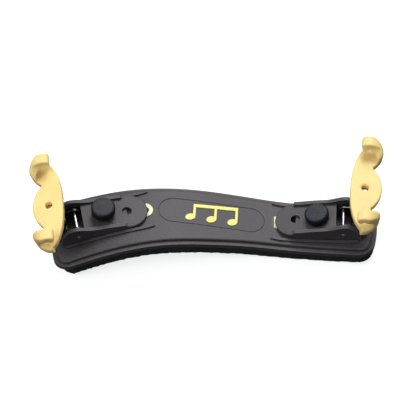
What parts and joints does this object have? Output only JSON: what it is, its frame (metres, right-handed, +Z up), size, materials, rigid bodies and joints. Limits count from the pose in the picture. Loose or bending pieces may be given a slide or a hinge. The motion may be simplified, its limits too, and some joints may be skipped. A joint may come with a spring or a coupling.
{
  "type": "violin shoulder rest",
  "caption": "Curved violin shoulder rest with a sponge-padded base, bolted carriers, folding legs and height-adjustable rubber-covered forks.",
  "frame": {"origin": "bottom centre of the bounding box with both legs open, on the level the pad stands on", "axes": "+X along the rest towards the chest end, +Y towards the convex back edge, +Z up towards the violin"},
  "size_m": [0.1834, 0.0618, 0.054],
  "materials": {
    "moulded_nylon": "matte, fine moulded texture",
    "sponge_rubber": "fine open-cell sponge",
    "yellow_print": "satin yellow",
    "ivory_plastic": "satin",
    "bright_steel": "bright",
    "bush_brass": "turned",
    "gloss_black": "glossy",
    "core_black": "matt",
    "fork_rubber": "soft satin rubber",
    "knob_rubber": "matt, slightly rough"
  },
  "bodies": {
    "base": {"base_shell": "moulded_nylon", "foam_pad": "sponge_rubber", "emblem": "yellow_print", "left_outer_nut": "ivory_plastic", "left_inner_nut": "ivory_plastic", "left_carrier": "moulded_nylon", "left_hinge_pin": "bright_steel", "right_outer_nut": "ivory_plastic", "right_inner_nut": "ivory_plastic", "right_carrier": "moulded_nylon", "right_hinge_pin": "bright_steel"},
    "left_leg_arm": {"left_leg": "gloss_black", "left_bush": "bush_brass"},
    "left_post_rod": {"left_post": "bright_steel"},
    "left_fork": {"left_fork_core": "core_black", "left_fork_cover": "fork_rubber"},
    "left_clamp_washer": {"left_washer": "bright_steel"},
    "left_thumb_screw": {"left_knob": "knob_rubber", "left_screw": "bright_steel"},
    "right_leg_arm": {"right_leg": "gloss_black", "right_bush": "bush_brass"},
    "right_post_rod": {"right_post": "bright_steel"},
    "right_fork": {"right_fork_core": "core_black", "right_fork_cover": "fork_rubber"},
    "right_clamp_washer": {"right_washer": "bright_steel"},
    "right_thumb_screw": {"right_knob": "knob_rubber", "right_screw": "bright_steel"}
  },
  "joints": [
    {"name": "left_leg_fold", "type": "hinge", "parent": "base", "child": "left_leg_arm", "pos_m": [-0.06778, -0.00047, 0.01926], "axis": [-0.1942, 0.981, 0], "range_deg": [0, 58]},
    {"name": "left_post_height", "type": "slide", "parent": "left_leg_arm", "child": "left_post_rod", "axis": [-0.2207, -0.0437, 0.9744], "range_m": [-0.0008, 0.006]},
    {"name": "left_fork_turn", "type": "hinge", "parent": "left_post_rod", "child": "left_fork", "pos_m": [-0.08082, -0.00305, 0.03774], "axis": [-0.2207, -0.0437, 0.9744], "range_deg": [-289, 2161]},
    {"name": "left_knob_lift", "type": "slide", "parent": "base", "child": "left_clamp_washer", "axis": [0.0171, 0.0034, 0.9998], "range_m": [-0.0021, 0.00042]},
    {"name": "left_knob_turn", "type": "hinge", "parent": "left_clamp_washer", "child": "left_thumb_screw", "pos_m": [-0.0535, 0.00236, 0.0222], "axis": [0.0171, 0.0034, 0.9998], "range_deg": [-1081, 217]},
    {"name": "right_leg_fold", "type": "hinge", "parent": "base", "child": "right_leg_arm", "pos_m": [0.07182, 0.00333, 0.01646], "axis": [-0.0523, -0.9986, 0], "range_deg": [0, 68]},
    {"name": "right_post_height", "type": "slide", "parent": "right_leg_arm", "child": "right_post_rod", "axis": [0.0296, -0.0016, 0.9996], "range_m": [-0.006, 0.0005]},
    {"name": "right_fork_turn", "type": "hinge", "parent": "right_post_rod", "child": "right_fork", "pos_m": [0.08145, 0.00283, 0.04488], "axis": [0.0296, -0.0016, 0.9996], "range_deg": [-2161, 181]},
    {"name": "right_knob_lift", "type": "slide", "parent": "base", "child": "right_clamp_washer", "axis": [-0.182, 0.0095, 0.9833], "range_m": [0, 0.0014]},
    {"name": "right_knob_turn", "type": "hinge", "parent": "right_clamp_washer", "child": "right_thumb_screw", "pos_m": [0.05828, 0.00404, 0.0172], "axis": [-0.182, 0.0095, 0.9833], "range_deg": [-1, 721]}
  ],
  "couplings": [
    {"joint": "left_fork_turn", "follows": "left_post_height", "rad_per_m": 6283.2},
    {"joint": "left_knob_turn", "follows": "left_knob_lift", "rad_per_m": 8976},
    {"joint": "right_fork_turn", "follows": "right_post_height", "rad_per_m": 6283.2},
    {"joint": "right_knob_turn", "follows": "right_knob_lift", "rad_per_m": 8976}
  ]
}
